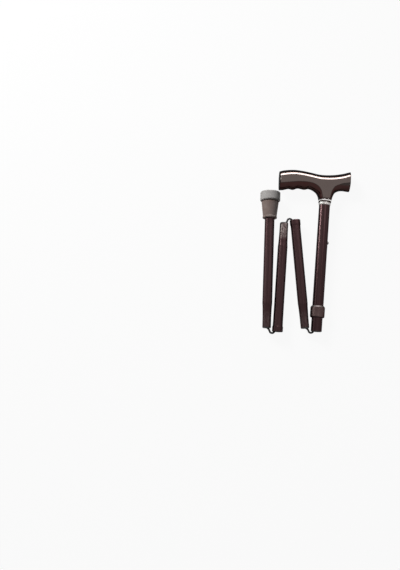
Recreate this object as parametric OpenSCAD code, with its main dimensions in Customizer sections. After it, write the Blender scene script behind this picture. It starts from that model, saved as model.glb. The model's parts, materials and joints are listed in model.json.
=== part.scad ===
// Folding cane, shown folded and lying on a table.
// The three lower sections are strung on one elastic cord that runs inside the tubes.
// Each section is drawn on a straight axis and then laid beside its neighbour by the fold.

/* [Handle] */
// length of the handle from the grip end to the beak end
handle_len = 136; // [110:1:160]
// height unit that the handle outline is given in, measured up from the neck
handle_rise = 60; // [48:1:72]
// thickness of the handle from side face to side face
handle_depth = 28; // [24:0.5:34]
// outside diameter of the neck
neck_d = 23.4; // [23:0.2:26]
// how far the upper tube reaches into the handle
tube_inset = 34; // [24:1:38]
// diameter of the cross pin in the neck
pin_d = 3; // [2:0.5:4]
// height of the polished ring below the neck
neck_ring_h = 5.6; // [4:0.2:8]

/* [Tubes] */
// outside diameter of the upper tube
upper_d = 20.4; // [20:0.1:22]
// outside diameter of the inner tube and of the lower sections
section_d = 18; // [17.4:0.1:18.2]
// wall of the tubes
wall = 1; // [0.8:0.05:1.1]
// distance from the neck to the middle of the collar
collar_at = 208; // [195:1:230]
// outside diameter of the collar
collar_d = 26.4; // [25:0.2:30]
// height of the collar
collar_h = 21.5; // [20:0.5:28]
// length of the wide stub below the collar
stub_len = 25.5; // [22:0.5:32]
// outside diameter of the wide stub
stub_d = 20; // [19.6:0.1:20.4]

/* [Height holes] */
// distance from the neck to the snap button
button_at = 77; // [70:1:90]
// distance between two height holes
hole_pitch = 16; // [14:0.5:16]
// number of height holes
hole_count = 7; // [7]
// diameter of the snap button
button_d = 6; // [5:0.1:7]
// how far the button stands out of the upper tube
button_out = 2.2; // [1.5:0.1:3]

/* [Lower sections] */
// length of the second section with its plug
second_len = 202.5; // [194:0.5:214]
// length of the third section with its plug
third_len = 203.5; // [194:0.5:214]
// how much longer the tip section is than the third, so that the sole lies past the third's plug
tip_extra_len = 52; // [46:0.5:60]
// length of the tapered plug
plug_len = 38; // [34:0.5:42]
// diameter of the plug at its root
plug_root_d = 17; // [16.6:0.1:17.2]
// diameter of the plug at its end
plug_end_d = 15.6; // [15.2:0.1:15.8]
// length of the widened part of a socket
flare_len = 20; // [16:0.5:24]
// height of the ring on a socket
ring_h = 9.5; // [7:0.5:12]

/* [Rubber tip] */
// diameter of the foot flange
foot_d = 37.5; // [34:0.5:40]
// height of the foot flange
foot_h = 17.5; // [15:0.5:22]
// height of the whole rubber tip
rubber_h = 50.5; // [46:0.5:58]
// diameter of the body next to the flange
body_d = 31.7; // [29:0.2:33]
// diameter of the body below its lip
body_end_d = 25.6; // [24:0.2:27]
// thickness of the sole
sole_h = 12; // [9:0.5:15]

/* [Folds] */
// angle left between the handle section and the second section
splay_1 = 9.3; // [8:0.1:12]
// angle left between the second and the third section
splay_2 = 8.6; // [7:0.1:11]
// angle left between the third and the tip section
splay_3 = 2.1; // [1.8:0.1:4]
// half the distance between two folded tubes
fold_half = 9.95; // [9.9:0.05:11]
// how far the fold point lies past the socket mouth
fold_past_mouth = 0.7; // [0.5:0.1:1.5]
// how far the fold point lies past the plug end
fold_past_plug = 7.2; // [6:0.1:9]
// lean of the handle section on the table
lean = 4; // [0:0.1:8]
// diameter of the elastic cord
cord_d = 3.6; // [3:0.1:4]

/* [Hidden] */
// smoothness of round pieces
$fn = 64;
// radial clearance of a sliding or turning fit
fit = 0.05;
// free gap between bodies that pass without a fit
gap = 0.3;
// overrun of cuts
over = 1;
// small edge rounding
edge = 0.6;
upper_r = upper_d / 2;
upper_in_r = upper_r - wall;
section_r = section_d / 2;
section_in_r = section_r - wall;
mouth = collar_at + collar_h / 2 + stub_len;
collar_top = collar_at - collar_h / 2;
collar_base = collar_at + collar_h / 2;
lip_h = 2;
bush_h = 4.5;
upper_end = collar_base - lip_h - bush_h - gap;
collar_r = collar_d / 2;
bush_r = upper_r + wall;
stub_r = stub_d / 2;
stub_grip = 8;
inner_top = button_at - 2.4 * button_d;
button_r = button_d / 2;
button_base_h = 1.4;
button_base_rim = 1;
button_base_r = button_r + button_base_rim;
button_tip = upper_r + button_out;
spring_t = 0.5;
spring_w = 5;
spring_leg = 15;
anchor_drop = 36;
anchor_at = button_at + anchor_drop;
anchor_h = 6;
cord_r = cord_d / 2;
cord_hole_r = cord_r + fit;
knot_r = 1.9 * cord_r;
tip_len = third_len + tip_extra_len;
plug_root_r = plug_root_d / 2;
plug_end_r = plug_end_d / 2;
plug_in_r = plug_end_r - wall;
shoulder_h = 6;
// bevel on the collar's upper rim
collar_bevel_h = 2.2;
collar_bevel_turn = 31;
neck_in_h = 4;
socket_fit = 0.08;
socket_r = plug_root_r + socket_fit;
flare_r = socket_r + 0.87 * wall;
ring_t = 0.42;
cap_rim_h = 1.2;
cap_rim_inset = 0.2;
cap_rim_r = plug_end_r - cap_rim_inset;
cap_h = 10;
cap_mouth_r = 5.8;
cap_throat_r = cord_r + gap;
cap_taper_h = 6.2;
cord_leg = 12;
cord_turn = 3;
bend_inset = 5.5;
cord_bend_r = fold_half - bend_inset;
cord_back = 1;
bend_from = 15;
cord_steps = 9;
cord_sides = 16;
washer_h = 2;
tread_d = 1.6;
tread_w = 1.8;
// middle radius of each sole groove in shares of the foot radius
tread_shares = [0.3, 0.52, 0.74];
lip_r = 1.2;
tube_stop = tip_len - sole_h - washer_h;
tip_anchor = tip_len - rubber_h - 2 * anchor_h;
fold_1 = 180 - splay_1;
fold_2 = 180 - splay_2;
fold_3 = 180 - splay_3;
foot_r = foot_d / 2;
depth = handle_depth / 2;
neck_r = neck_d / 2;
// half width and half thickness of the neck in shares of the handle sizes
neck_share = neck_r / handle_len;
neck_depth_share = neck_r / depth;

// the parts of the object, one node each
// which node to draw

// outline of the handle from the neck round the grip and the beak back to the neck:
// edge x and z, face x and z in shares of the handle sizes, depth share, roundness of the edge;
// above 1 the round edge turns into a shoulder with a facet between it and the face
handle_shares = [
    [-neck_share, 0.000, -0.0300, 0.000, neck_depth_share, 1.00],
    [-neck_share - 0.0020, -0.078, -0.0450, -0.090, 0.985, 0.95],
    [-neck_share - 0.0180, -0.197, -0.0680, -0.298, 1.000, 0.85],
    [-0.1340, -0.291, -0.1050, -0.433, 1.000, 0.75],
    [-0.1820, -0.360, -0.1650, -0.519, 1.000, 0.68],
    [-0.2380, -0.395, -0.2300, -0.570, 1.000, 0.66],
    [-0.2990, -0.359, -0.3030, -0.590, 1.000, 0.66],
    [-0.3850, -0.378, -0.3900, -0.586, 1.000, 0.66],
    [-0.4530, -0.319, -0.4580, -0.563, 1.000, 0.66],
    [-0.5170, -0.333, -0.5200, -0.540, 1.000, 0.66],
    [-0.5860, -0.283, -0.5820, -0.514, 1.000, 0.66],
    [-0.6370, -0.268, -0.6250, -0.494, 1.000, 0.70],
    [-0.6490, -0.294, -0.6340, -0.509, 1.000, 0.85],
    [-0.6550, -0.533, -0.6370, -0.594, 1.000, 1.00],
    [-0.6600, -0.821, -0.6360, -0.654, 1.000, 1.20],
    [-0.6480, -0.881, -0.6280, -0.662, 1.000, 1.50],
    [-0.5650, -0.936, -0.5560, -0.711, 1.000, 1.50],
    [-0.4500, -0.971, -0.4490, -0.745, 1.000, 1.50],
    [-0.3310, -0.963, -0.3360, -0.737, 1.000, 1.50],
    [-0.2140, -0.933, -0.2200, -0.707, 1.000, 1.50],
    [-0.0960, -0.898, -0.1000, -0.671, 1.000, 1.50],
    [0.0210, -0.907, 0.0230, -0.681, 1.000, 1.50],
    [0.1370, -0.948, 0.1400, -0.722, 1.000, 1.50],
    [0.2360, -1.007, 0.2350, -0.781, 1.000, 1.50],
    [0.3110, -1.066, 0.2990, -0.839, 1.000, 1.50],
    [0.3290, -1.049, 0.3090, -0.829, 1.000, 1.20],
    [0.3320, -0.786, 0.3120, -0.775, 1.000, 1.00],
    [0.3330, -0.583, 0.3130, -0.685, 1.000, 1.00],
    [0.3290, -0.456, 0.3080, -0.650, 1.000, 0.85],
    [0.3180, -0.431, 0.3000, -0.639, 1.000, 0.70],
    [0.2360, -0.440, 0.2260, -0.620, 1.000, 0.66],
    [0.1820, -0.417, 0.1700, -0.576, 1.000, 0.68],
    [0.1330, -0.349, 0.1080, -0.492, 1.000, 0.75],
    [neck_share + 0.0200, -0.228, 0.0680, -0.332, 1.000, 0.85],
    [neck_share + 0.0040, -0.085, 0.0450, -0.090, 0.985, 0.95],
    [neck_share, 0.000, 0.0300, 0.000, neck_depth_share, 1.00]];
// a faceted edge in shares of its reach: a steep shoulder from the middle up, then a flat facet
edge_shares = [[0, 0], [0.05, 0.16], [0.13, 0.33], [0.24, 0.49], [0.37, 0.625], [0.52, 0.745], [0.68, 0.855],
    [1, 1]];
handle_steps = 3;
handle_rings = len(edge_shares) - 1;
handle_v_spans = 3;
handle_spans = len(handle_shares) - 1;
handle_count = handle_spans * handle_steps + 1;

// a point between two rows of a table, on a smooth curve through all rows
function row_at(rows, i) = rows[min(max(i, 0), len(rows) - 1)];
function curve(rows, i, t) =
    let (p = row_at(rows, i - 1), q = row_at(rows, i), r = row_at(rows, i + 1), s = row_at(rows, i + 2))
    q + t * (r - p) / 2 + t * t * (2 * p - 5 * q + 4 * r - s) / 2 + t * t * t * (3 * q - p - 3 * r + s) / 2;
function station(i) =
    let (row = floor(i / handle_steps))
    curve(handle_shares, row, i / handle_steps - row);

// one point of the handle skin: station i, ring k from the edge to the face, side 1 or -1
function round_edge(k, turn) =
    let (u = k / handle_rings * turn)
    [(1 - cos(u)) / (1 - cos(turn)), sin(u) / sin(turn)];
function skin(i, k, side) =
    let (s = station(i), cut = min(max(2 * (s[5] - 1), 0), 1))
    let (rim = (1 - cut) * round_edge(k, 90 * min(s[5], 1)) + cut * edge_shares[k])
    let (in_share = rim[0], up_share = rim[1])
    [handle_len * (s[0] + in_share * (s[2] - s[0])),
        side * depth * min(s[4], 1) * up_share,
        handle_rise * (s[1] + in_share * (s[3] - s[1]))];

module handle_skin() {
    n = handle_count;
    r = handle_rings;
    v = handle_v_spans * handle_steps;
    points = concat(
        [for (k = [0:r], i = [0:n - 1]) skin(i, k, 1)],
        [for (k = [1:r], i = [0:n - 1]) skin(i, k, -1)]);
    faces = concat(
        [for (k = [0:r - 1], i = [0:n - 2]) [k * n + i, k * n + i + 1, (k + 1) * n + i + 1, (k + 1) * n + i]],
        [for (k = [0:r - 1], i = [0:n - 2])
            let (a = k == 0 ? 0 : (r + k) * n, b = (r + k + 1) * n)
            [b + i, b + i + 1, a + i + 1, a + i]],
        [for (i = [0:v - 1]) [r * n + i, r * n + i + 1, r * n + n - 2 - i, r * n + n - 1 - i]],
        [for (i = [0:v - 1])
            [2 * r * n + n - 1 - i, 2 * r * n + n - 2 - i, 2 * r * n + i + 1, 2 * r * n + i]],
        [[for (i = [v:n - 1 - v]) r * n + i]],
        [[for (i = [n - 1 - v:-1:v]) 2 * r * n + i]],
        [concat([for (k = [0:r]) k * n], [for (k = [r:-1:0]) k * n + n - 1],
            [for (k = [1:r]) (r + k) * n + n - 1], [for (k = [r:-1:1]) (r + k) * n])]);
    polyhedron(points, faces, convexity = 6);
}

// round piece from a list of [radius, height] corners
module turned(corners) {
    rotate_extrude() polygon(corners);
}

// tube or ring with rounded rims
module ring(r_in, r_out, z_low, z_high, rim) {
    turned([[r_in, z_low], [r_out - rim, z_low], [r_out, z_low + rim],
        [r_out, z_high - rim], [r_out - rim, z_high], [r_in, z_high]]);
}

// places of the sections
plane_x = 36.7;
plane_y = 96.9;

// where a point of a folded section lies in the frame of the section that it hangs on
function folded(p, side, mouth_z, fold) =
    let (x = p[0] - side * fold_half, z = p[1] + fold_past_plug, t = side * fold)
    [x * cos(t) + z * sin(t) + side * fold_half, z * cos(t) - x * sin(t) + mouth_z + fold_past_mouth];

// rest attitude on the table: the foot flange, the beak and the collar touch it
lay_roll = asin((foot_r - depth) / (1.007 * handle_len));
lay_pitch = asin(0.070 * (foot_r - collar_r) / (handle_len / 4));
handle_turn = -lean;

// the handle section's [x, z] as a point of the plane that all tubes lie in
function on_plane(p) = [plane_x + p[0] * cos(handle_turn) + p[1] * sin(handle_turn),
    plane_y + p[0] * sin(handle_turn) - p[1] * cos(handle_turn)];
function from_second(p) = folded(p, -1, mouth, fold_1);
function from_third(p) = from_second(folded(p, 1, second_len, fold_2));
function from_tip(p) = from_third(folded(p, -1, third_len, fold_3));
left_x = on_plane(from_tip([foot_r, tip_len]))[0];
right_x = on_plane([0.335 * handle_len, -0.786 * handle_rise])[0];
back_y = on_plane([-0.56 * handle_len, -0.947 * handle_rise])[1];
front_y = on_plane(from_third([0, third_len + cord_bend_r]))[1];

module lay() {
    centre = [(left_x + right_x) / 2, (back_y + front_y) / 2];
    low = on_plane(from_tip([0, tip_len - foot_h / 2])) - centre;
    rise = foot_r + foot_h / 2 * sin(lay_pitch);
    translate([0, 0, rise + low[0] * sin(lay_roll) - low[1] * sin(lay_pitch)])
    rotate([lay_pitch, lay_roll, 0]) translate([-centre[0], -centre[1], 0]) children();
}
module at_handle() {
    lay() translate([plane_x, plane_y, 0]) rotate([90, 0, handle_turn]) children();
}
module fold(side, mouth_z, angle) {
    translate([side * fold_half, 0, mouth_z + fold_past_mouth]) rotate([0, side * angle, 0])
    translate([-side * fold_half, 0, fold_past_plug]) children();
}
module at_second() {
    at_handle() fold(-1, mouth, fold_1) children();
}
module at_third() {
    at_second() fold(1, second_len, fold_2) children();
}
module at_tip() {
    at_third() fold(-1, third_len, fold_3) children();
}

// section tube with a tapered plug at z = 0 and, on request, a widened socket at its other end
module section_tube(length, socket) {
    root = plug_len + shoulder_h;
    plug = [[plug_in_r, 0], [plug_end_r - edge, 0], [plug_end_r, edge],
        [section_in_r - socket_fit, plug_len - flare_len], [plug_root_r, plug_len], [section_r, root]];
    plain = [[section_r, length], [section_in_r, length]];
    wide = [[section_r, length - flare_len], [flare_r, length], [socket_r, length],
        [section_in_r, length - flare_len]];
    bore = [[section_in_r, root + neck_in_h], [plug_in_r, plug_len - neck_in_h]];
    turned(concat(plug, socket ? wide : plain, bore));
}

// ring on a widened socket
module socket_ring(length) {
    low = length - ring_h;
    low_r = section_r + (flare_r - section_r) * (flare_len - ring_h) / flare_len;
    out_r = flare_r + ring_t;
    turned([[low_r, low], [out_r - ring_t / 2, low], [out_r, low + edge], [out_r, length - edge],
        [out_r - ring_t / 2, length], [flare_r, length]]);
}

// black guide in a plug end, with a wide mouth for the cord
module plug_cap() {
    turned([[cap_mouth_r, -cap_rim_h], [cap_rim_r - edge, -cap_rim_h], [cap_rim_r, edge - cap_rim_h],
        [cap_rim_r, 0], [plug_in_r, 0], [plug_in_r, cap_h], [cap_throat_r, cap_h],
        [cap_throat_r, cap_taper_h - cap_rim_h]]);
}

// cord round a fold: off the parent's axis, round the rim of its mouth and into the plug cap
function bezier(p, q, r, s, t) =
    pow(1 - t, 3) * p + 3 * t * pow(1 - t, 2) * q + 3 * t * t * (1 - t) * r + t * t * t * s;
function bend_path(mouth_z, angle) =
    let (centre = [-fold_half, mouth_z - cord_back], from = [0, mouth_z - cord_leg], pull = cord_leg / 2.4)
    let (to = folded([0, cord_turn], -1, mouth_z, angle))
    let (into = folded([0, cord_turn - pull], -1, mouth_z, angle))
    let (on = centre + cord_bend_r * [cos(bend_from), sin(bend_from)])
    let (off = centre + cord_bend_r * [cos(180 - bend_from), sin(180 - bend_from)])
    let (pull_on = on - pull * [-sin(bend_from), cos(bend_from)])
    let (pull_off = off + pull * [-sin(bend_from), -cos(bend_from)])
    concat(
        [for (i = [0:cord_steps - 1]) bezier(from, from + [0, pull], pull_on, on, i / cord_steps)],
        [for (i = [0:cord_steps]) let (t = bend_from + (180 - 2 * bend_from) * i / cord_steps)
            centre + cord_bend_r * [cos(t), sin(t)]],
        [for (i = [1:cord_steps]) bezier(off, pull_off, into, to, i / cord_steps)]);
module cord_bend(side, mouth_z, angle) {
    path = bend_path(mouth_z, angle);
    n = len(path);
    m = cord_sides;
    points = [for (i = [0:n - 1], j = [0:m - 1])
        let (d = path[min(i + 1, n - 1)] - path[max(i - 1, 0)], u = d / norm(d), t = 360 * j / m)
        [path[i][0] + cord_r * cos(t) * u[1], cord_r * sin(t), path[i][1] - cord_r * cos(t) * u[0]]];
    faces = concat(
        [for (i = [0:n - 2], j = [0:m - 1])
            [(i + 1) * m + j, (i + 1) * m + (j + 1) % m, i * m + (j + 1) % m, i * m + j]],
        [[for (j = [0:m - 1]) j]], [[for (j = [m - 1:-1:0]) (n - 1) * m + j]]);
    mirror([side > 0 ? 1 : 0, 0, 0]) polyhedron(points, faces, convexity = 4);
}

module handle() {
    color([0.24, 0.20, 0.18]) at_handle() difference() {
        handle_skin();
        translate([0, 0, -tube_inset]) cylinder(h = tube_inset + over, r = upper_r);
        translate([0, 0, -tube_inset / 2]) rotate([90, 0, 0])
        cylinder(h = neck_d - 2 * wall, r = pin_d / 2, center = true);
    }
}
module neck_ring() {
    r_out = neck_r - edge;
    color([0.75, 0.73, 0.72]) at_handle() turned([[upper_r, 0], [r_out - edge, 0], [r_out, edge],
        [r_out, neck_ring_h - 2 * edge], [r_out - edge, neck_ring_h], [upper_r, neck_ring_h]]);
}
module handle_pin() {
    color([0.6, 0.6, 0.6]) at_handle() translate([0, 0, -tube_inset / 2]) rotate([90, 0, 0])
    cylinder(h = neck_d - 2 * wall, r = pin_d / 2, center = true);
}
module upper_tube() {
    color([0.26, 0.17, 0.17]) at_handle() difference() {
        ring(upper_in_r, upper_r, -tube_inset, upper_end, wall / 4);
        translate([0, 0, -tube_inset / 2]) rotate([90, 0, 0])
        cylinder(h = neck_d, r = pin_d / 2, center = true);
        for (i = [0:hole_count - 1]) translate([0, 0, button_at + i * hole_pitch])
        rotate([0, 90, 0]) cylinder(h = upper_r + over, r = button_r + gap);
    }
}
module collar() {
    rim = 4 * edge;
    bevel_in = collar_bevel_h * tan(collar_bevel_turn);
    upper_rim = [[collar_r - bevel_in - edge, collar_top], [collar_r - bevel_in, collar_top + edge],
        [collar_r, collar_top + edge + collar_bevel_h]];
    lower_rim = [for (t = [0:15:90]) [collar_r - rim + rim * cos(t), collar_base - rim + rim * sin(t)]];
    color([0.22, 0.15, 0.15]) at_handle() turned(concat([[upper_r + fit, collar_top]], upper_rim, lower_rim,
        [[section_r + gap, collar_base], [section_r + gap, collar_base - lip_h],
        [bush_r, collar_base - lip_h], [bush_r, collar_base - lip_h - bush_h - gap],
        [upper_r + fit, collar_base - lip_h - bush_h - gap]]));
}
module collar_bush() {
    color([0.12, 0.11, 0.11]) at_handle() ring(section_r + fit, bush_r, collar_base - lip_h - bush_h,
        collar_base - lip_h, edge / 2);
}
module inner_tube() {
    color([0.26, 0.17, 0.17]) at_handle() difference() {
        ring(section_in_r, section_r, inner_top, mouth - stub_len + stub_grip, wall / 4);
        translate([0, 0, button_at]) rotate([0, 90, 0]) cylinder(h = upper_r, r = button_r + fit);
    }
}
module inner_tube_bush() {
    rim_h = 3;
    in_h = 8;
    color([0.12, 0.11, 0.11]) at_handle() turned([[section_in_r - 2 * wall, inner_top - rim_h],
        [upper_in_r - fit - edge, inner_top - rim_h], [upper_in_r - fit, inner_top - rim_h + edge],
        [upper_in_r - fit, inner_top], [section_in_r, inner_top], [section_in_r, inner_top + in_h],
        [section_in_r - 2 * wall, inner_top + in_h]]);
}
module snap_button() {
    base = section_in_r - 2 * button_base_h;
    dome = button_r / 2;
    color([0.55, 0.54, 0.53]) at_handle() translate([0, 0, button_at]) rotate([0, 90, 0]) turned([
        [0, base], [button_base_r, base], [button_base_r, base + button_base_h],
        [button_r, base + button_base_h], [button_r, button_tip - dome],
        [button_r * cos(22), button_tip - dome + dome * sin(22)],
        [button_r * cos(45), button_tip - dome + dome * sin(45)],
        [button_r * cos(68), button_tip - dome + dome * sin(68)], [0, button_tip]]);
}
module button_spring() {
    near = section_in_r - 2 * button_base_h - spring_t - fit;
    far = -(section_in_r - wall / 2 - spring_t);
    mid = (near + far) / 2;
    bend = (near - far) / 2;
    color([0.6, 0.6, 0.62]) at_handle() {
        translate([near, -spring_w / 2, button_at - spring_w])
        cube([spring_t, spring_w, spring_leg + spring_w]);
        translate([far - spring_t, -spring_w / 2, button_at - spring_w])
        cube([spring_t, spring_w, spring_leg + spring_w]);
        translate([mid, 0, button_at + spring_leg]) rotate([90, 0, 0]) rotate_extrude(angle = 180)
        translate([bend, -spring_w / 2]) square([spring_t, spring_w]);
    }
}
module socket_sleeve() {
    low = mouth - stub_len;
    color([0.26, 0.17, 0.17]) at_handle() turned([[section_r, low], [stub_r - edge, low],
        [stub_r, low + edge], [stub_r, mouth - edge], [stub_r - edge, mouth], [socket_r, mouth],
        [section_in_r + socket_fit, low + stub_grip], [section_r, low + stub_grip]]);
}
module cord_anchor_top() {
    color([0.2, 0.2, 0.2]) at_handle() ring(cord_hole_r, section_in_r, anchor_at, anchor_at + anchor_h, edge);
}
module inner_cord() {
    knot_at = anchor_at - knot_r;
    color([0.08, 0.08, 0.08]) at_handle() {
        translate([0, 0, knot_at]) cylinder(h = mouth - cord_leg - gap - knot_at, r = cord_r);
        translate([0, 0, knot_at]) sphere(r = knot_r);
    }
}
module cord_bend_1() {
    color([0.08, 0.08, 0.08]) at_handle() cord_bend(-1, mouth, fold_1);
}
module second_tube() {
    color([0.26, 0.17, 0.17]) at_second() section_tube(second_len, true);
}
module second_plug_cap() {
    color([0.08, 0.08, 0.08]) at_second() plug_cap();
}
module second_socket_ring() {
    color([0.2, 0.14, 0.14]) at_second() socket_ring(second_len);
}
module section_cord(length) {
    translate([0, 0, cord_turn + gap]) cylinder(h = length - cord_leg - cord_turn - 2 * gap, r = cord_r);
}
module second_cord() {
    color([0.08, 0.08, 0.08]) at_second() section_cord(second_len);
}
module cord_bend_2() {
    color([0.08, 0.08, 0.08]) at_second() cord_bend(1, second_len, fold_2);
}
module third_tube() {
    color([0.26, 0.17, 0.17]) at_third() section_tube(third_len, true);
}
module third_plug_cap() {
    color([0.08, 0.08, 0.08]) at_third() plug_cap();
}
module third_socket_ring() {
    color([0.2, 0.14, 0.14]) at_third() socket_ring(third_len);
}
module third_cord() {
    color([0.08, 0.08, 0.08]) at_third() section_cord(third_len);
}
module cord_bend_3() {
    color([0.08, 0.08, 0.08]) at_third() cord_bend(-1, third_len, fold_3);
}
module tip_tube() {
    color([0.26, 0.17, 0.17]) at_tip() section_tube(tube_stop, false);
}
module tip_plug_cap() {
    color([0.08, 0.08, 0.08]) at_tip() plug_cap();
}
module tip_cord() {
    knot_at = tip_anchor + anchor_h + knot_r;
    color([0.08, 0.08, 0.08]) at_tip() {
        translate([0, 0, cord_turn + gap]) cylinder(h = knot_at - cord_turn - gap, r = cord_r);
        translate([0, 0, knot_at]) sphere(r = knot_r);
    }
}
module cord_anchor_bottom() {
    color([0.2, 0.2, 0.2]) at_tip() ring(cord_hole_r, section_in_r, tip_anchor, tip_anchor + anchor_h, edge);
}
module tip_washer() {
    color([0.6, 0.6, 0.6]) at_tip() translate([0, 0, tube_stop]) cylinder(h = washer_h, r = section_r);
}
module rubber_tip() {
    lip_z = tip_len - rubber_h;
    flange_z = tip_len - foot_h;
    groove = 1.8;
    lip_out = body_end_d / 2 + lip_r / 2;
    color([0.42, 0.41, 0.42]) at_tip() difference() {
        turned([[section_r, lip_z], [lip_out - edge, lip_z], [lip_out, lip_z + edge],
            [lip_out, lip_z + 2 * lip_r], [body_end_d / 2, lip_z + 3 * lip_r],
            [body_d / 2, flange_z - 2 * groove], [body_d / 2, flange_z - groove],
            [body_d / 2 - groove, flange_z - groove], [body_d / 2 - groove, flange_z],
            [foot_r - 2 * edge, flange_z], [foot_r - edge, flange_z + edge], [foot_r, flange_z + 3 * edge],
            [foot_r, tip_len - 3 * edge], [foot_r - edge, tip_len - edge], [foot_r - 3 * edge, tip_len],
            [0, tip_len], [0, tube_stop + washer_h], [section_r, tube_stop + washer_h]]);
        for (share = tread_shares) translate([0, 0, tip_len - tread_d]) difference() {
            cylinder(h = tread_d + over, r = share * foot_r + tread_w / 2);
            translate([0, 0, -over]) cylinder(h = tread_d + 3 * over, r = share * foot_r - tread_w / 2);
        }
    }
}

handle();
neck_ring();
handle_pin();
upper_tube();
collar();
collar_bush();
inner_tube();
inner_tube_bush();
snap_button();
button_spring();
socket_sleeve();
cord_anchor_top();
inner_cord();
cord_bend_1();
second_tube();
second_plug_cap();
second_socket_ring();
second_cord();
cord_bend_2();
third_tube();
third_plug_cap();
third_socket_ring();
third_cord();
cord_bend_3();
tip_tube();
tip_plug_cap();
tip_cord();
cord_anchor_bottom();
tip_washer();
rubber_tip();
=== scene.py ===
# %% [markdown]
# # A folding cane, lying folded on a table
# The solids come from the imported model, in metres and in their final places.
# This lesson dresses them: it aims a camera, models the pieces that need a finer skin,
# writes one finish for each material, and lights the table like a small product studio.

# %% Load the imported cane
import bpy
import bmesh
import json
import math
from mathutils import Matrix, Vector


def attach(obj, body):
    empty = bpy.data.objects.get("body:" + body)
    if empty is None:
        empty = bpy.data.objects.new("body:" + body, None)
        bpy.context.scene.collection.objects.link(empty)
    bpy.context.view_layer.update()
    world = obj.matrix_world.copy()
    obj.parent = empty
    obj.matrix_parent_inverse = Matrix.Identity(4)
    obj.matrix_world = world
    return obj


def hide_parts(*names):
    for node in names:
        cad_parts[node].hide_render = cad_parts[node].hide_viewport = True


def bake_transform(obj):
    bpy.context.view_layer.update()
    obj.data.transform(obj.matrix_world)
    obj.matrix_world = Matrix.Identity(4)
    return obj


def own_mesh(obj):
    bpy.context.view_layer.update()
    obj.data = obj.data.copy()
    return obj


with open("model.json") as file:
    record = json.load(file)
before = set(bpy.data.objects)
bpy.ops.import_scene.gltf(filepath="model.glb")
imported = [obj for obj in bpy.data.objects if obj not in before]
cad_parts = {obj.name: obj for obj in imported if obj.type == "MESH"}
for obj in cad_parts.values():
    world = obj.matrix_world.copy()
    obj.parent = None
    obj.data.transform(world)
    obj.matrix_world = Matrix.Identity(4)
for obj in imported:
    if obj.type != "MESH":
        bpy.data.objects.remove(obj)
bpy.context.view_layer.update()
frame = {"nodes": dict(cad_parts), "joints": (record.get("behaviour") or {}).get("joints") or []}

# %% [markdown]
# ## Camera
# The cane was photographed from almost straight above, a little from the side where the tubes end.
# A camera is easiest to place by what it looks at: a target on the table, an angle above the table,
# a distance and a small roll. It is aimed left of the cane, so that the cane lies right of the middle
# of the picture and no lens shift is needed.

# %% Aim the camera
PICTURE_H = 570
SENSOR_MM, VIEW_END = 24, 50
aim = Vector((-0.1949, -0.0691, 0.018))
camera_rise, camera_roll = math.radians(80), math.radians(1.31)
camera_reach = 1.3
focal_px = 706.5

camera_data = bpy.data.cameras.new("camera")
camera_data.sensor_fit = "VERTICAL"
camera_data.sensor_height = SENSOR_MM
camera_data.lens = focal_px * SENSOR_MM / PICTURE_H
camera_data.clip_end = VIEW_END
camera = bpy.data.objects.new("camera", camera_data)
bpy.context.scene.collection.objects.link(camera)
away = Vector((0, -math.cos(camera_rise), math.sin(camera_rise)))
facing = away.to_track_quat("Z", "Y").to_matrix()
camera.matrix_world = (Matrix.Translation(aim + camera_reach * away)
                       @ (facing @ Matrix.Rotation(camera_roll, 3, "Z")).to_4x4())
bpy.context.scene.camera = camera
print("camera at", tuple(round(v, 3) for v in camera.location), "lens", round(camera_data.lens, 2), "mm")

# %% [markdown]
# ## Where the sections lie
# Every tube was drawn on a straight axis and then folded beside its neighbour.
# The finer pieces below are drawn on the same straight axes, so this cell rebuilds the four places:
# x runs across the tube in the plane of the fold, y points up from the table, z runs down the cane.

# %% Places of the four sections
MM = 0.001
FOLD_HALF, PAST_MOUTH, PAST_PLUG = 9.95 * MM, 0.7 * MM, 7.2 * MM
SPLAYS = (9.3, 8.6, 2.1)
STUB_MOUTH, SECOND_LEN, THIRD_LEN, TIP_LEN = 244.25 * MM, 202.5 * MM, 203.5 * MM, 255.5 * MM

joints = {j["name"]: j for j in frame["joints"]}
down_1 = Vector(joints["height_adjust"]["axis"])
across_1 = -Vector(joints["button_press"]["axis"])
up_1 = down_1.cross(across_1).normalized()
collar_spot = Vector(joints["collar_turn"]["pos_m"])
COLLAR_AT, COLLAR_TOP = 208 * MM, 197.25 * MM


def place(origin, across, up, down):
    m = Matrix((across, up, down)).transposed().to_4x4()
    m.translation = origin
    return m


def folded_on(parent, side, mouth, splay):
    return (parent @ Matrix.Translation((side * FOLD_HALF, 0, mouth + PAST_MOUTH))
            @ Matrix.Rotation(side * math.radians(180 - splay), 4, "Y")
            @ Matrix.Translation((-side * FOLD_HALF, 0, PAST_PLUG)))


at_handle = place(collar_spot - COLLAR_AT * down_1, across_1, up_1, down_1)
at_second = folded_on(at_handle, -1, STUB_MOUTH, SPLAYS[0])
at_third = folded_on(at_second, 1, SECOND_LEN, SPLAYS[1])
at_tip = folded_on(at_third, -1, THIRD_LEN, SPLAYS[2])
print("sole middle:", tuple(round(v, 4) for v in at_tip @ Vector((0, 0, TIP_LEN))))

# %% [markdown]
# ## Writing shaders as sums
# A finish is a small net of nodes. Plugging them together by hand hides the idea, so this cell wraps
# a socket in a class with ordinary operators: `1 - mask * 0.5` then adds the Math nodes by itself.
# Any other node comes from one method that takes its type, its settings and what goes into its sockets.

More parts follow.
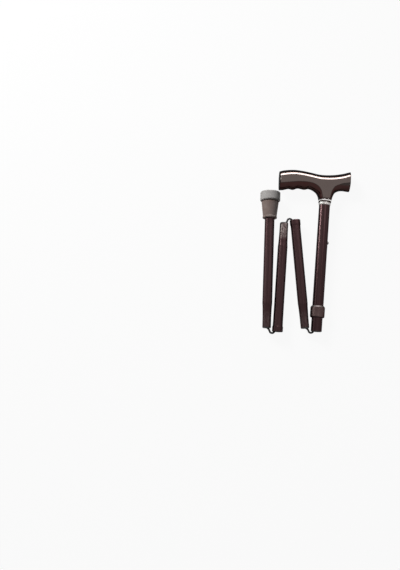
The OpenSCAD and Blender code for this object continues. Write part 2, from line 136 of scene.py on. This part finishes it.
# %% A socket that can be calculated with
class Flow:
    def __init__(self, finish, socket):
        self.finish, self.socket = finish, socket

    def maths(self, operation, first, second):
        return self.finish.node("ShaderNodeMath", {"operation": operation}, {0: first, 1: second})

    def __add__(self, other): return self.maths("ADD", self, other)
    def __radd__(self, other): return self.maths("ADD", other, self)
    def __sub__(self, other): return self.maths("SUBTRACT", self, other)
    def __rsub__(self, other): return self.maths("SUBTRACT", other, self)
    def __mul__(self, other): return self.maths("MULTIPLY", self, other)
    def __rmul__(self, other): return self.maths("MULTIPLY", other, self)


class Finish:
    def __init__(self, name, **constants):
        self.material = bpy.data.materials.new(name)
        self.material.use_nodes = True
        self.tree = self.material.node_tree
        self.shader = self.tree.nodes["Principled BSDF"]
        for socket, value in constants.items():
            self.shader.inputs[socket.replace("_", " ")].default_value = value
        self.spot = self.node("ShaderNodeTexCoord", out="Object")

    def node(self, kind, settings=None, sockets=None, out=0):
        made = self.tree.nodes.new(kind)
        for key, value in (settings or {}).items():
            setattr(made, key, value)
        for key, value in (sockets or {}).items():
            if isinstance(value, Flow):
                self.tree.links.new(value.socket, made.inputs[key])
            else:
                made.inputs[key].default_value = value
        return Flow(self, made.outputs[out])

    def vector_maths(self, operation, first, second, out=0):
        return self.node("ShaderNodeVectorMath", {"operation": operation}, {0: first, 1: second}, out)

    def along(self, direction, origin):
        shifted = self.vector_maths("SUBTRACT", self.spot, tuple(origin))
        return self.vector_maths("DOT_PRODUCT", shifted, tuple(direction), "Value")

    def own_axes(self, m):
        turn = m.inverted().to_euler("XYZ")
        return self.node("ShaderNodeMapping", {"vector_type": "POINT"},
                         {"Vector": self.spot, "Location": m.inverted().translation, "Rotation": turn})

    def noise(self, scale, detail=4, roughness=0.55, at=None, stretch=None):
        at = at or self.spot
        if stretch:
            at = self.vector_maths("MULTIPLY", at, stretch)
        return self.node("ShaderNodeTexNoise", {},
                         {"Vector": at, "Scale": scale, "Detail": detail, "Roughness": roughness})

    def between(self, low, high, value):
        return self.node("ShaderNodeMapRange", {"interpolation_type": "SMOOTHSTEP"},
                         {0: value, 1: low, 2: high})

    def mix(self, share, first, second):
        tint = lambda c: c if isinstance(c, Flow) else (*c, 1)
        return self.node("ShaderNodeMix", {"data_type": "RGBA"},
                         {0: share, 6: tint(first), 7: tint(second)}, 2)

    def colour(self, value): self.tree.links.new(value.socket, self.shader.inputs["Base Color"])
    def rough(self, value): self.tree.links.new(value.socket, self.shader.inputs["Roughness"])

    def bump(self, height, strength, distance):
        out = self.node("ShaderNodeBump", {},
                        {"Height": height, "Strength": strength, "Distance": distance})
        self.tree.links.new(out.socket, self.shader.inputs["Normal"])


print("shader helpers ready")

# %% [markdown]
# ## Brown tube lacquer
# The tubes are drawn metal under a dark red-brown lacquer with a metallic shine.
# Drawing leaves faint streaks along the tube, and every fold rubs the lacquer at the plug's end.
# Dark plastic under a clear coat would be another way, but its rims turn white in a pale room.
# A metal shader with a tint for its edge keeps the rims dark and brown, as they are on such tubes.

# %% Tube lacquer on each tube's own axis
RIM_TINT = (0.48, 0.50, 0.50, 1)
LACQUER_DARK, LACQUER_PALE, LACQUER_WORN = (0.027, 0.0135, 0.0145), (0.043, 0.0245, 0.025), (0.17, 0.142, 0.135)
# distance from the plug's end over which the worn patch fades out
WORN_ENDS, WORN_STARTS = 34 * MM, 20 * MM


def tube_lacquer(name, m, wear, rough):
    f = Finish(name, Metallic=1.0, Specular_Tint=RIM_TINT)
    own = f.own_axes(m)
    streak = f.noise(scale=260, detail=3, roughness=0.6, at=own, stretch=(1, 1, 0.02))
    cloud = f.noise(scale=30, detail=4, roughness=0.6, at=own, stretch=(1, 1, 0.3))
    fleck = f.noise(scale=2600, detail=2, roughness=0.5, at=own)
    scuff = f.noise(scale=700, detail=4, roughness=0.6, at=own, stretch=(1, 1, 0.25))
    coat = f.mix(f.between(0.35, 0.7, streak), LACQUER_DARK, LACQUER_PALE)
    from_plug = f.along(m.col[2].to_3d(), m.translation)
    worn = f.between(WORN_ENDS, WORN_STARTS, from_plug) * f.between(0.30, 0.75, scuff) * wear
    f.colour(f.mix(worn, coat, LACQUER_WORN))
    f.rough(rough + 0.10 * cloud + 0.05 * streak + 0.16 * worn)
    f.bump(streak * 0.85 + fleck * 0.15, strength=0.05, distance=0.0002)
    return f.material


# section, its place, how worn its plug is, how rough its lacquer is
LACQUERED = [("upper", at_handle, 0.0, 0.21), ("second", at_second, 0.2, 0.34),
             ("third", at_third, 1.0, 0.32), ("tip", at_tip, 0.2, 0.34)]
lacquers = {part: tube_lacquer("lacquer_" + part, *row) for part, *row in LACQUERED}
print("lacquers:", ", ".join(lacquers))

# %% Dress the tubes
def dress(material, *nodes):
    for name in nodes:
        solid = frame["nodes"][name]
        solid.data.materials.clear()
        solid.data.materials.append(material)
    print(material.name, "on", ", ".join(nodes))


dress(lacquers["upper"], "upper_tube", "inner_tube", "socket_sleeve")
dress(lacquers["second"], "second_tube", "second_socket_ring")
dress(lacquers["third"], "third_tube", "third_socket_ring")
dress(lacquers["tip"], "tip_tube")

# %% [markdown]
# ## Handle plastic
# The handle is one glossy dark brown moulding. Its broad side face is nearly flat, so it mirrors
# whatever hangs above it, and the rounded underside is redder, with painted shade near the middle plane
# and painted light where the finger hollows face the lamps. Plain glossy plastic would do in a dark room,
# but here its rims would turn white. A metal shader with a black edge keeps the outline dark.
# A fine mould grain and a slow change of gloss keep it from looking like glass.

# %% Handle finish
BLACK_RIM = (0.0, 0.0, 0.0, 1)
HANDLE_BROWN, HANDLE_PALE = (0.041, 0.0320, 0.0295), (0.046, 0.038, 0.034)
# underside colours: painted shade near the middle plane, red with painted light where the finger hollows face
# the lamps
FINGER_PAINTED_SHADE, FINGER_RED_PAINTED_LIT = (0.016, 0.007, 0.0065), (0.046, 0.0185, 0.017)
# from the middle plane out: where the side face starts, and where the underside goes from painted shade to
# painted light on the finger hollows
SIDE_FACE, FINGER_PAINTED_LIGHT_SPAN = (13.4 * MM, 13.8 * MM), (3 * MM, 12 * MM)
# down along the neck: where the underside starts
UNDERSIDE = (-36 * MM, -32 * MM)


def handle_gloss():
    f = Finish("handle_gloss", Metallic=0.9, Specular_Tint=BLACK_RIM)
    grain = f.noise(scale=900, detail=3, roughness=0.5)
    cloud = f.noise(scale=40, detail=4, roughness=0.6)
    out = f.node("ShaderNodeMath", {"operation": "ABSOLUTE"}, {0: f.along(up_1, at_handle.translation)})
    side = f.between(*SIDE_FACE, out)
    under = f.between(*UNDERSIDE, f.along(down_1, at_handle.translation)) * (1 - side)
    # painted shade near the middle plane, painted light further out, by how the finger hollows face the lamps
    finger_painted_light = f.mix(f.between(*FINGER_PAINTED_LIGHT_SPAN, out), FINGER_PAINTED_SHADE, FINGER_RED_PAINTED_LIT)
    tone_with_painted_shade = f.mix(under, HANDLE_BROWN, finger_painted_light)
    f.colour(f.mix(f.between(0.3, 0.7, cloud) * 0.25, tone_with_painted_shade, HANDLE_PALE))
    f.rough(0.12 + 0.06 * cloud)
    f.bump(grain, strength=0.05, distance=0.0002)
    return f.material


handle_finish = handle_gloss()
print("handle finish:", handle_finish.name)

# %% [markdown]
# ## The handle's skin
# The handle is the piece that takes the most skill: a long grip with finger hollows, a short beak and
# a neck that flows into the tube. It could be sculpted, but a table of stations round the outline is
# easier to keep true. Each row gives a point on the outer edge, the matching point on the side face,
# the thickness there and how round the edge is. Loops of stations at several depths are then bridged.

# %% Stations round the outline
HANDLE_LEN, HANDLE_RISE, HANDLE_HALF, NECK_R = 136 * MM, 60 * MM, 14 * MM, 11.7 * MM
NECK, NECK_THICK = NECK_R / HANDLE_LEN, NECK_R / HANDLE_HALF
STATIONS = [
    (-NECK, 0.000, -0.0300, 0.000, NECK_THICK, 1.00), (-NECK - 0.002, -0.078, -0.0450, -0.090, 0.985, 0.95),
    (-NECK - 0.018, -0.197, -0.0680, -0.298, 1.000, 0.85), (-0.1340, -0.291, -0.1050, -0.433, 1.000, 0.75),
    (-0.1820, -0.360, -0.1650, -0.519, 1.000, 0.68), (-0.2380, -0.395, -0.2300, -0.555, 1.000, 0.66),
    (-0.2990, -0.359, -0.3030, -0.563, 1.000, 0.66), (-0.3850, -0.378, -0.3900, -0.551, 1.000, 0.66),
    (-0.4530, -0.319, -0.4580, -0.526, 1.000, 0.66), (-0.5170, -0.333, -0.5200, -0.500, 1.000, 0.66),
    (-0.5860, -0.283, -0.5820, -0.474, 1.000, 0.66), (-0.6370, -0.268, -0.6330, -0.454, 1.000, 0.70),
    (-0.6490, -0.294, -0.6400, -0.470, 1.000, 0.85), (-0.6550, -0.533, -0.6450, -0.590, 1.000, 1.00),
    (-0.6600, -0.821, -0.6450, -0.654, 1.000, 1.20), (-0.6480, -0.881, -0.6360, -0.680, 1.000, 1.50),
    (-0.5650, -0.936, -0.5560, -0.731, 1.000, 1.50), (-0.4500, -0.971, -0.4490, -0.765, 1.000, 1.50),
    (-0.3310, -0.963, -0.3360, -0.757, 1.000, 1.50), (-0.2140, -0.933, -0.2200, -0.727, 1.000, 1.50),
    (-0.0960, -0.898, -0.1000, -0.691, 1.000, 1.50), (0.0210, -0.907, 0.0230, -0.701, 1.000, 1.50),
    (0.1370, -0.948, 0.1400, -0.742, 1.000, 1.50), (0.2360, -1.007, 0.2350, -0.801, 1.000, 1.50),
    (0.3110, -1.066, 0.2990, -0.859, 1.000, 1.50), (0.3290, -1.049, 0.3160, -0.846, 1.000, 1.20),
    (0.3320, -0.786, 0.3200, -0.785, 1.000, 1.00), (0.3330, -0.583, 0.3200, -0.725, 1.000, 1.00),
    (0.3290, -0.456, 0.3150, -0.690, 1.000, 0.85), (0.3180, -0.431, 0.3050, -0.668, 1.000, 0.70),
    (0.2360, -0.440, 0.2260, -0.630, 1.000, 0.66), (0.1820, -0.417, 0.1700, -0.576, 1.000, 0.68),
    (0.1330, -0.349, 0.1080, -0.492, 1.000, 0.75), (NECK + 0.020, -0.228, 0.0680, -0.332, 1.000, 0.85),
    (NECK + 0.004, -0.085, 0.0450, -0.090, 0.985, 0.95), (NECK, 0.000, 0.0300, 0.000, NECK_THICK, 1.00)]
STEPS, RINGS, NECK_SPANS, FACET_RINGS = 8, 14, 3, 2
FACETED = 1.1  # stations with an edge value above this have a facet along the top
# the top edge in shares of its reach: foot of the wall, a curved shoulder, a flat facet, the side face
EDGE_SHARES = [(0.00, 0.00), (0.05, 0.16), (0.13, 0.33), (0.24, 0.49), (0.37, 0.625), (0.52, 0.745),
               (0.75, 0.897), (1.00, 1.00)]


def station(i):
    row, t = divmod(i / STEPS, 1)
    pick = lambda k: Vector(STATIONS[min(max(int(row) + k, 0), len(STATIONS) - 1)])
    p, q, r, s = pick(-1), pick(0), pick(1), pick(2)
    return (q + t * (r - p) / 2 + t * t * (2 * p - 5 * q + 4 * r - s) / 2
            + t ** 3 * (3 * q - p - 3 * r + s) / 2)


def rim_share(k, roundness):
    turn = math.radians(90) * min(roundness, 1)
    u = k / RINGS * turn
    round_in, round_up = (1 - math.cos(u)) / (1 - math.cos(turn)), math.sin(u) / math.sin(turn)
    row, t = divmod(k / RINGS * (len(EDGE_SHARES) - 1), 1)
    low, high = EDGE_SHARES[int(row)], EDGE_SHARES[min(int(row) + 1, len(EDGE_SHARES) - 1)]
    cut_in, cut_up = low[0] + t * (high[0] - low[0]), low[1] + t * (high[1] - low[1])
    cut = min(max((roundness - 1) * 2, 0), 1)
    return round_in + cut * (cut_in - round_in), round_up + cut * (cut_up - round_up)


def skin_point(i, k, side):
    s = station(i)
    inward, upward = rim_share(k, s[5])
    return Vector((HANDLE_LEN * (s[0] + inward * (s[2] - s[0])), side * HANDLE_HALF * min(s[4], 1) * upward,
                   HANDLE_RISE * (s[1] + inward * (s[3] - s[1]))))


print("stations:", len(STATIONS), "rows,", (len(STATIONS) - 1) * STEPS + 1, "after smoothing")

# %% [markdown]
# The loops run from the edge in the middle plane out to the side face on one side, and the same on
# the other. Each pair of neighbouring loops is bridged, the two side faces and the neck end are filled,
# and edges sharper than about 25 degrees stay crisp while the rest is shaded smooth.

# %% Loft the handle
def linked(name, bm):
    mesh = bpy.data.meshes.new(name)
    bm.to_mesh(mesh)
    bm.free()
    piece = bpy.data.objects.new(name, mesh)
    bpy.context.scene.collection.objects.link(piece)
    return piece


def sharpen(bm, degrees):
    for face in bm.faces:
        face.smooth = True
    for edge in bm.edges:
        if len(edge.link_faces) == 2:
            edge.smooth = edge.calc_face_angle(0) < math.radians(degrees)


def loft_handle():
    bm = bmesh.new()
    count = (len(STATIONS) - 1) * STEPS + 1

    def loop(k, side):
        return [bm.verts.new(at_handle @ skin_point(i, k, side)) for i in range(count)]

    def chain(verts):
        return [bm.edges.get((a, b)) or bm.edges.new((a, b)) for a, b in zip(verts, verts[1:])]

    middle = loop(0, 1)
    crisp_edges = []
    for side in (1, -1):
        previous = middle
        for k in range(1, RINGS + 1):
            current = loop(k, side)
            bmesh.ops.bridge_loops(bm, edges=chain(previous) + chain(current))
            previous = current
            if k == RINGS - FACET_RINGS:
                crisp_edges += [e for i, e in enumerate(chain(current)) if station(i)[5] > FACETED]
        crisp_edges += chain(previous)
        neck = NECK_SPANS * STEPS
        left, right = previous[:neck + 1], previous[-neck - 1:]
        bmesh.ops.bridge_loops(bm, edges=chain(left) + chain(right[::-1]))
        face_loop = previous[neck:len(previous) - neck]
        bmesh.ops.edgeloop_fill(bm, edges=chain(face_loop + face_loop[:1]))
    bmesh.ops.holes_fill(bm, edges=[e for e in bm.edges if e.is_boundary])
    bmesh.ops.remove_doubles(bm, verts=bm.verts, dist=1e-6)
    bmesh.ops.recalc_face_normals(bm, faces=bm.faces)
    sharpen(bm, degrees=25)
    for edge in crisp_edges:
        edge.smooth = False
    return linked("handle_skin", bm)


handle_skin = loft_handle()
handle_skin.data.materials.append(handle_finish)
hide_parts("handle")
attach(handle_skin, "handle_section")
loose_edges = sum(1 for e in handle_skin.data.edges if e.is_loose)
print("handle:", len(handle_skin.data.polygons), "faces, loose edges", loose_edges)

# %% [markdown]
# Just above the neck's end a narrow plated band lies on the moulding. It has the outline of the neck,
# which is a rounded square there, so a ring from a lathe would not sit on it. The band takes four
# sections of the handle's own skin, pushes the middle two outwards by the metal's thickness, sinks
# the outer two a little into the plastic and bridges them into a closed ring.

# %% Plated band on the neck
BAND_STATIONS, BAND_PROUD = (3.2, 3.6, 5.6, 6.0), (-0.0001, 0.0003, 0.0003, -0.0001)


def neck_section(bm, i, proud):
    last = (len(STATIONS) - 1) * STEPS
    walk = [(i, k, 1) for k in range(RINGS + 1)] + [(last - i, k, 1) for k in range(RINGS, -1, -1)]
    walk += [(last - i, k, -1) for k in range(1, RINGS + 1)] + [(i, k, -1) for k in range(RINGS, 0, -1)]
    verts = []
    for step in walk:
        spot = skin_point(*step)
        spot += Vector((spot.x, spot.y, 0)).normalized() * proud
        verts.append(bm.verts.new(at_handle @ spot))
    return [bm.edges.new(pair) for pair in zip(verts, verts[1:] + verts[:1])]


def band_on_neck():
    bm = bmesh.new()
    sections = [neck_section(bm, i, proud) for i, proud in zip(BAND_STATIONS, BAND_PROUD)]
    for low, high in zip(sections, sections[1:] + sections[:1]):
        bmesh.ops.bridge_loops(bm, edges=low + high)
    bmesh.ops.recalc_face_normals(bm, faces=bm.faces)
    sharpen(bm, degrees=35)
    return linked("neck_band", bm)


neck_band = band_on_neck()
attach(neck_band, "handle_section")
print("neck band:", len(neck_band.data.polygons), "faces")

# %% [markdown]
# ## Small plastic, rubber and metal finishes
# The lock collar is a semi-gloss brown moulding. The cord guides are black nylon.
# The rubber tip has a paler, smoother flange and a taupe body with the dust that rubber collects.
# The ring below the neck and the band on it are plated metal; pins and washers are plain steel.
# Each could have a finish of its own, but most differ only in colour, gloss and grain, so one function
# writes them. The collar and the tip have two tones, which follow their axes, and so two functions more.

# %% Collar, nylon, steel and plated ring
COLLAR_DARK, COLLAR_PALE, COLLAR_RIM = (0.056, 0.036, 0.035), (0.080, 0.054, 0.052), (0.044, 0.037, 0.036)
COLLAR_BEVEL = (3.6 * MM, 2.8 * MM)


def moulded(name, dark, pale, rough, grain_scale, **constants):
    f = Finish(name, **constants)
    cloud = f.noise(scale=60, detail=4, roughness=0.6)
    grain = f.noise(scale=grain_scale, detail=3, roughness=0.5)
    f.colour(f.mix(f.between(0.3, 0.7, cloud), dark, pale))
    f.rough(rough + 0.14 * cloud)
    f.bump(grain, strength=0.12, distance=0.0002)
    return f.material


def collar_moulding():
    f = Finish("collar_brown", Metallic=1.0, Specular_Tint=BLACK_RIM)
    cloud = f.noise(scale=60, detail=4, roughness=0.6)
    below_rim = f.along(down_1, at_handle @ Vector((0, 0, COLLAR_TOP)))
    bevel = f.between(*COLLAR_BEVEL, below_rim)
    coat = f.mix(f.between(0.3, 0.7, cloud), COLLAR_DARK, COLLAR_PALE)
    f.colour(f.mix(bevel, coat, COLLAR_RIM))
    f.rough(0.34 + 0.12 * cloud + 0.14 * bevel)
    f.bump(f.noise(scale=1400, detail=3, roughness=0.5), strength=0.12, distance=0.0002)
    return f.material


collar_brown = collar_moulding()
black_nylon = moulded("black_nylon", (0.008, 0.008, 0.008), (0.016, 0.015, 0.015), 0.42, 1800)
plain_steel = moulded("plain_steel", (0.34, 0.34, 0.35), (0.46, 0.46, 0.46), 0.28, 2400, Metallic=1.0)
dark_steel = moulded("dark_steel", (0.07, 0.066, 0.064), (0.11, 0.105, 0.10), 0.34, 2400, Metallic=1.0)
plated_ring = moulded("plated_ring", (0.30, 0.28, 0.27), (0.42, 0.39, 0.38), 0.40, 2000, Metallic=1.0)
bright_band = moulded("bright_band", (0.70, 0.68, 0.66), (0.82, 0.80, 0.78), 0.16, 2000, Metallic=1.0)
dress(collar_brown, "collar")
dress(black_nylon, "collar_bush", "inner_tube_bush", "cord_anchor_top", "cord_anchor_bottom",
      "second_plug_cap", "third_plug_cap", "tip_plug_cap")
dress(plain_steel, "button_spring", "handle_pin", "tip_washer")
dress(dark_steel, "snap_button")
dress(plated_ring, "neck_ring")
neck_band.data.materials.append(bright_band)

# %% Rubber of the tip
FLANGE_LEN, FLANGE_BLUR = 17.5 * MM, 0.8 * MM
RUBBER_BODY, RUBBER_FLANGE, RUBBER_DUST = (0.155, 0.110, 0.096), (0.30, 0.285, 0.275), (0.36, 0.33, 0.31)


def tip_rubber():
    f = Finish("tip_rubber", Specular_IOR_Level=0.3)
    past_step = f.along(at_tip.col[2].to_3d(), at_tip @ Vector((0, 0, TIP_LEN - FLANGE_LEN)))
    flange = f.between(-FLANGE_BLUR, FLANGE_BLUR, past_step)
    dust = f.noise(scale=90, detail=5, roughness=0.65)
    grain = f.noise(scale=1500, detail=3, roughness=0.6)
    tint = f.mix(flange, RUBBER_BODY, RUBBER_FLANGE)
    f.colour(f.mix(f.between(0.45, 0.8, dust) * 0.3, tint, RUBBER_DUST))
    f.rough(0.62 + 0.2 * dust - 0.15 * flange)
    f.bump(grain * 0.7 + dust * 0.3, strength=0.2, distance=0.0003)
    return f.material


dress(tip_rubber(), "rubber_tip")

# %% [markdown]
# ## Elastic cord
# One braided elastic cord runs through the whole cane and shows only where it turns round a fold.
# A curve with a round bevel would be the quickest cord, but the braid follows the cord and so needs a map
# of its own: once round and along the length. Rings bridged along a route give both the tube and the map.
# On the cane a turn bends between two sections when it opens, and a run shortens as its plug slides home; here
# each is swept once, in the folded pose.

# %% Braided finish
BRAID_STRANDS, BRAID_PER_M = 8, 900
CORD_DARK, CORD_PALE = (0.004, 0.004, 0.004), (0.022, 0.021, 0.021)


def cord_braid():
    f = Finish("cord_braid", Specular_IOR_Level=0.3, Sheen_Weight=0.15)
    uv = f.node("ShaderNodeUVMap", {"uv_map": "braid"})
    around, length = (f.node("ShaderNodeSeparateXYZ", {}, {0: uv}, axis) for axis in (0, 1))
    wave = lambda v: f.node("ShaderNodeMath", {"operation": "SINE"}, {0: v * math.tau})
    over = wave(around * BRAID_STRANDS + length * BRAID_PER_M)
    under = wave(around * BRAID_STRANDS - length * BRAID_PER_M)
    strand = f.between(-0.6, 0.9, f.node("ShaderNodeMath", {"operation": "MAXIMUM"}, {0: over, 1: under}))
    f.colour(f.mix(strand, CORD_DARK, CORD_PALE))
    f.rough(0.85 - 0.2 * strand)
    f.bump(strand, strength=0.6, distance=0.0003)
    return f.material


braid = cord_braid()
print("cord finish:", braid.name)

# %% Sweep a braided cord along a route
CORD_R, CORD_SIDES = 1.8 * MM, 24


def sweep_cord(name, route):
    bm = bmesh.new()
    turn_mark = bm.verts.layers.float.new("turn")
    run_mark = bm.verts.layers.float.new("run")
    uv = bm.loops.layers.uv.new("braid")
    travelled, previous = 0, None
    for i, spot in enumerate(route):
        ahead = (route[min(i + 1, len(route) - 1)] - route[max(i - 1, 0)]).normalized()
        side = up_1.cross(ahead).normalized()
        frame_here = place(spot, side, ahead.cross(side), ahead)
        if i:
            travelled += (spot - route[i - 1]).length
        ring = bmesh.ops.create_circle(bm, cap_ends=i in (0, len(route) - 1), segments=CORD_SIDES,
                                       radius=CORD_R, matrix=frame_here)["verts"]
        for v in ring:
            local = frame_here.inverted() @ v.co
            v[turn_mark] = (math.atan2(local.y, local.x) / math.tau) % 1
            v[run_mark] = travelled
        edges = [e for e in bm.edges if e.verts[0] in ring and e.verts[1] in ring]
        if previous:
            bmesh.ops.bridge_loops(bm, edges=previous + edges)
        previous = edges
    bmesh.ops.recalc_face_normals(bm, faces=bm.faces)
    for face in bm.faces:
        face.smooth = len(face.verts) == 4
        turns = [loop.vert[turn_mark] for loop in face.loops]
        for loop, turn in zip(face.loops, turns):
            wrapped = turn + 1 if max(turns) - turn > 0.5 else turn
            loop[uv].uv = (wrapped, loop.vert[run_mark])
    piece = linked(name, bm)
    piece.data.materials.append(braid)
    return piece


def straight(m, low, high, count=12):
    return [m @ Vector((0, 0, low + (high - low) * i / (count - 1))) for i in range(count)]


print("cord radius", CORD_R, "m")

# %% [markdown]
# The turn leaves the parent's axis, goes round the rim of its mouth in an arc and enters the guide in
# the next plug. Two Bezier curves and an arc give the same route as the solid.

# %% Route of a turn
LEG, TURN_IN, BACK, INSET, START = 12 * MM, 3 * MM, 1 * MM, 5.5 * MM, math.radians(15)
PULL, BEND_MARGIN = LEG / 2.4, 3 * MM


def fold_point(x, z, mouth, splay):
    child = folded_on(Matrix.Identity(4), -1, mouth, splay)
    spot = child @ Vector((x, 0, z))
    return Vector((spot.x, 0, spot.z))


def turn_route(m, side, mouth, splay, steps=12):
    radius = FOLD_HALF - INSET
    middle = Vector((-FOLD_HALF, 0, mouth - BACK))
    begin = Vector((0, 0, mouth - LEG))
    inside, deep = fold_point(0, TURN_IN, mouth, splay), fold_point(0, TURN_IN - PULL, mouth, splay)
    on_arc = lambda t: middle + radius * Vector((math.cos(t), 0, math.sin(t)))
    first, last = on_arc(START), on_arc(math.pi - START)
    lead = first - PULL * Vector((-math.sin(START), 0, math.cos(START)))
    trail = last + PULL * Vector((-math.sin(START), 0, -math.cos(START)))

    def bezier(p, q, r, s, t):
        return (1 - t) ** 3 * p + 3 * t * (1 - t) ** 2 * q + 3 * t * t * (1 - t) * r + t ** 3 * s

    spots = [bezier(begin, begin + Vector((0, 0, PULL)), lead, first, i / steps) for i in range(steps)]
    spots += [on_arc(START + (math.pi - 2 * START) * i / steps) for i in range(steps + 1)]
    spots += [bezier(last, trail, deep, inside, i / steps) for i in range(1, steps + 1)]
    return [m @ Vector((-side * v.x, 0, v.z)) for v in spots]


FOLDS = [("cord_bend_1", at_handle, -1, STUB_MOUTH, SPLAYS[0], "adjuster"),
         ("cord_bend_2", at_second, 1, SECOND_LEN, SPLAYS[1], "second_section"),
         ("cord_bend_3", at_third, -1, THIRD_LEN, SPLAYS[2], "third_section")]
for node, m, side, mouth, splay, parent in FOLDS:
    turn = sweep_cord("cord_turn_" + node[-1], turn_route(m, side, mouth, splay))
    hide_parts(node)
    m @ Vector((side * BEND_MARGIN, 0, mouth))
    m @ Vector((side * (2 * FOLD_HALF - BEND_MARGIN), 0, mouth))
    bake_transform(turn)
    print(turn.name, len(turn.data.polygons), "faces, bends from", parent)

# %% [markdown]
# The runs hang between an anchor or a guide and the next turn. On the cane, the three below the handle
# section draw back from their plug as it enters the socket above; here each is swept at one length.

# %% Cord runs inside the tubes
RUN_GAP, ANCHOR_TOP, ANCHOR_TIP = 0.3 * MM, 113 * MM, 199 * MM
KNOT, DRAW_BACK = 1.9 * CORD_R, 54 * MM
inner_run = sweep_cord("cord_run_inner", straight(at_handle, ANCHOR_TOP - KNOT, STUB_MOUTH - LEG - RUN_GAP))
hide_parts("inner_cord")
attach(inner_run, "adjuster")
RUNS = [("cord_run_second", "second_cord", at_second, SECOND_LEN - LEG - RUN_GAP, "second_section", "seat_1"),
        ("cord_run_third", "third_cord", at_third, THIRD_LEN - LEG - RUN_GAP, "third_section", "seat_2"),
        ("cord_run_tip", "tip_cord", at_tip, ANCHOR_TIP + KNOT, "tip_section", "seat_3")]
for name, node, m, low_end, body, joint in RUNS:
    run = sweep_cord(name, straight(m, TURN_IN + RUN_GAP, low_end))
    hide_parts(node)
    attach(run, body)
    m @ Vector((0, 0, low_end))
    1 - DRAW_BACK / (low_end - TURN_IN)
    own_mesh(run)
    print(name, "down to", round(low_end / MM), "mm draws back with", joint)

# %% [markdown]
# ## Table and studio light
# The cane lies on a plain white table in a pale room. Both could be lit until they turn white, but that
# would wash out the cane. Instead they only show the camera and the mirrors a white of their own, while
# matt surfaces see a dim room, and the table keeps the cane's shadow.

# %% Table
PALE, TABLE_HALF, TABLE_DROP = 0.93, 30, 0.3 * MM


def background_rays(f):
    ray = lambda kind: f.node("ShaderNodeLightPath", out=kind)
    return ray("Is Camera Ray") + ray("Is Glossy Ray") + ray("Is Transmission Ray")


def table_top():
    bm = bmesh.new()
    bmesh.ops.create_grid(bm, x_segments=4, y_segments=4, size=TABLE_HALF,
                          matrix=Matrix.Translation((0, 0, -TABLE_DROP)))
    top = linked("table", bm)
    f = Finish("table_white", Roughness=0.9, Specular_IOR_Level=0.0)
    f.colour(f.mix(f.noise(scale=3, detail=2), (0.62, 0.62, 0.62), (0.66, 0.66, 0.66)))
    white = f.node("ShaderNodeEmission", {}, {"Color": (1, 1, 1, 1), "Strength": 1.0})
    lit = f.node("ShaderNodeMixShader", {},
                 {0: background_rays(f) * PALE, 1: Flow(f, f.shader.outputs[0]), 2: white})
    f.tree.links.new(lit.socket, f.tree.nodes["Material Output"].inputs["Surface"])
    top.data.materials.append(f.material)
    return top


table = table_top()
print("table:", len(table.data.polygons), "faces")

# %% [markdown]
# Gloss and matt want different lamps: a mirror shows a lamp's shape, while matt rubber only needs its
# light. So each lamp says which of the two it serves. A softbox above and behind is mirrored by the flat
# side of the handle, a low strip at the back draws the bright line along the handle's top edge, and a
# small lamp low on the left draws the line on the upper tube. One matt lamp lights the rubber from the left.

# %% Lamps
def soft_lamp(name, spot, target, width, depth, radiance, mirrored=True, matt=True, tint=(1, 1, 1)):
    lamp = bpy.data.lights.new(name, "AREA")
    lamp.shape, lamp.size, lamp.size_y = "RECTANGLE", width, depth
    lamp.energy, lamp.color = radiance * math.pi * width * depth, tint
    holder = bpy.data.objects.new(name, lamp)
    holder.visible_diffuse, holder.visible_glossy = matt, mirrored
    bpy.context.scene.collection.objects.link(holder)
    spot, target = Vector(spot), Vector(target)
    turned = (spot - target).to_track_quat("Z", "Y").to_matrix().to_4x4()
    holder.matrix_world = Matrix.Translation(spot) @ turned
    print(name, "radiance", radiance)


soft_lamp("softbox_back", spot=(0.34, 0.62, 1.5), target=(0.02, 0.1, 0),
          width=1.1, depth=0.55, radiance=2.1, matt=False)
soft_lamp("softbox_left", spot=(-0.95, 0.95, 0.95), target=(-0.05, 0.05, 0),
          width=0.6, depth=0.6, radiance=24, mirrored=False)
soft_lamp("strip_back", spot=(0.10, 1.25, 0.52), target=(0.02, 0.15, 0.03),
          width=1.8, depth=0.28, radiance=54, matt=False)
soft_lamp("strip_left", spot=(-1.2, 0.56, 0.30), target=(0.03, 0.05, 0.02),
          width=0.16, depth=0.20, radiance=100, matt=False, tint=(0.9, 1.0, 0.97))

# %% Room
ROOM_DIM, ROOM_PALE = (0.11, 0.11, 0.11), (PALE, PALE, PALE)


class Room(Finish):
    def __init__(self, name):
        self.world = bpy.data.worlds.new(name)
        self.world.use_nodes = True
        self.tree = self.world.node_tree
        self.shader = self.tree.nodes["Background"]


room = Room("room")
bpy.context.scene.world = room.world
walls = room.mix(background_rays(room), ROOM_DIM, ROOM_PALE)
room.tree.links.new(walls.socket, room.shader.inputs["Color"])
bpy.context.scene.view_settings.view_transform = "Standard"
print("room:", ROOM_DIM[0], "on matt surfaces,", PALE, "in mirrors")
